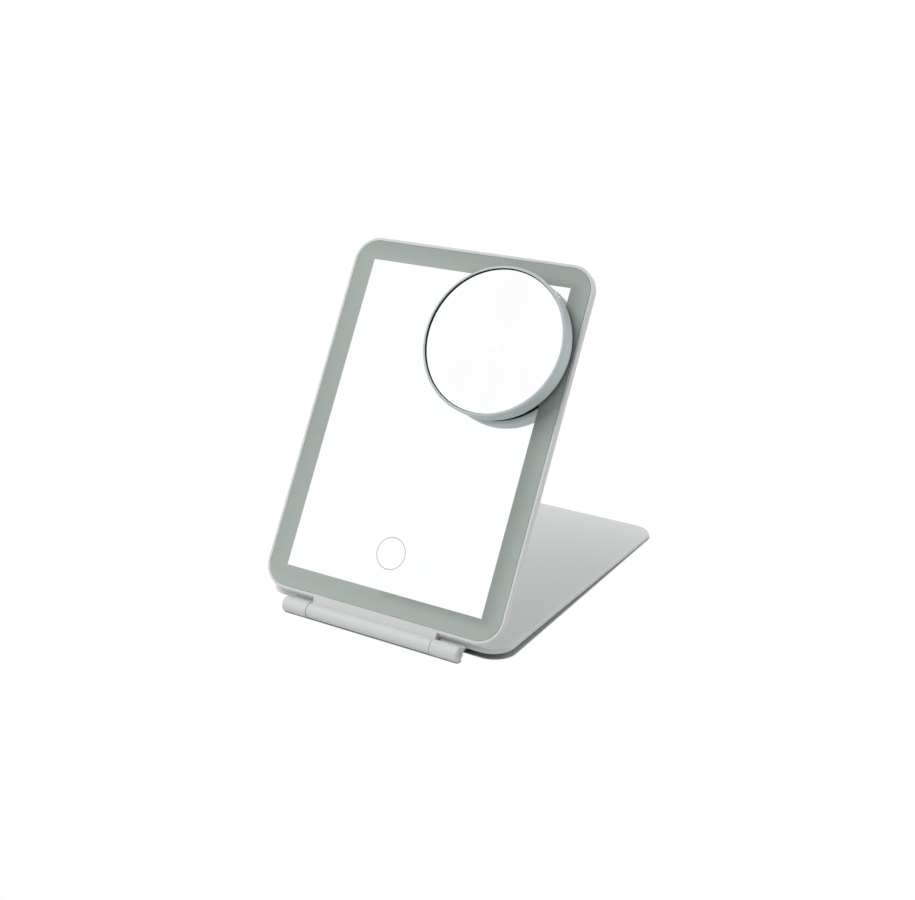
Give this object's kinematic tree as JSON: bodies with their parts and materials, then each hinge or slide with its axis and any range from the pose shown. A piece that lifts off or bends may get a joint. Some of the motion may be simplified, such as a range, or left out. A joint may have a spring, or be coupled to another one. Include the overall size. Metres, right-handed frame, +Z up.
{
  "type": "folding lit travel mirror",
  "caption": "Slim lit mirror panel hinged to a flat cover that folds out behind as its stand, with a round magnifier held on the glass by magnets.",
  "frame": {"origin": "on the table under the middle of the opened object", "axes": "+Z up, the mirror faces -Y and leans back towards +Y, +X to the right seen from the front, the hinge axis lies along X"},
  "size_m": [0.161, 0.231, 0.2022],
  "materials": {
    "panel_frame": "light grey, fine satin",
    "rear_cover": "light grey, fine satin",
    "mirror_glass": "clear, polished, frosted behind its border",
    "silver_layer": "silvered",
    "frosted_sheet": "frosted, pale sage",
    "glass_tape": "double-sided foam tape",
    "touch_ring": "printed grey line",
    "touch_pad": "bare copper foil",
    "led_board": "white solder mask",
    "leds": "yellow phosphor",
    "control_board": "green solder mask",
    "board_parts": "black moulded packages",
    "usb_shell": "plain stainless",
    "usb_tongue": "black",
    "charge_light": "clear light pipe",
    "battery": "silver-grey pouch",
    "battery_leads": "insulated wire",
    "signal_leads": "insulated wire",
    "support_foam": "closed-cell foam",
    "steel_disc": "zinc plated",
    "rear_screws": "zinc plated",
    "board_screws": "zinc plated",
    "friction_clips": "spring steel, greased",
    "stand_cover": "light grey, fine satin",
    "stand_lining": "soft brushed microfibre",
    "stand_pads": "dark grey",
    "hinge_pins": "ground steel",
    "pin_caps": "light grey",
    "magnifier_cup": "light blue-grey, satin",
    "magnifier_glass": "silvered, concave",
    "magnifier_tape": "black double-sided tape",
    "magnifier_magnets": "nickel plated",
    "magnifier_pad": "soft silicone"
  },
  "bodies": {
    "stand": {"stand_cover": "stand_cover", "stand_lining": "stand_lining", "stand_pads": "stand_pads", "hinge_pins": "hinge_pins", "pin_caps": "pin_caps"},
    "panel": {"panel_frame": "panel_frame", "rear_cover": "rear_cover", "mirror_glass": "mirror_glass", "silver_layer": "silver_layer", "frosted_sheet": "frosted_sheet", "glass_tape": "glass_tape", "touch_ring": "touch_ring", "touch_pad": "touch_pad", "led_board": "led_board", "leds": "leds", "control_board": "control_board", "board_parts": "board_parts", "usb_shell": "usb_shell", "usb_tongue": "usb_tongue", "charge_light": "charge_light", "battery": "battery", "battery_leads": "battery_leads", "signal_leads": "signal_leads", "support_foam": "support_foam", "steel_disc": "steel_disc", "rear_screws": "rear_screws", "board_screws": "board_screws", "friction_clips": "friction_clips"},
    "magnifier": {"magnifier_cup": "magnifier_cup", "magnifier_glass": "magnifier_glass", "magnifier_tape": "magnifier_tape", "magnifier_magnets": "magnifier_magnets", "magnifier_pad": "magnifier_pad"}
  },
  "joints": [
    {"name": "panel_fold", "type": "hinge", "parent": "stand", "child": "panel", "pos_m": [0, -0.11099, 0.0045], "axis": [1, 0, 0], "range_deg": [-12, 290]},
    {"name": "magnifier_pull", "type": "slide", "parent": "panel", "child": "magnifier", "axis": [0, -0.8729, 0.4879], "range_m": [0, 0.06]}
  ]
}
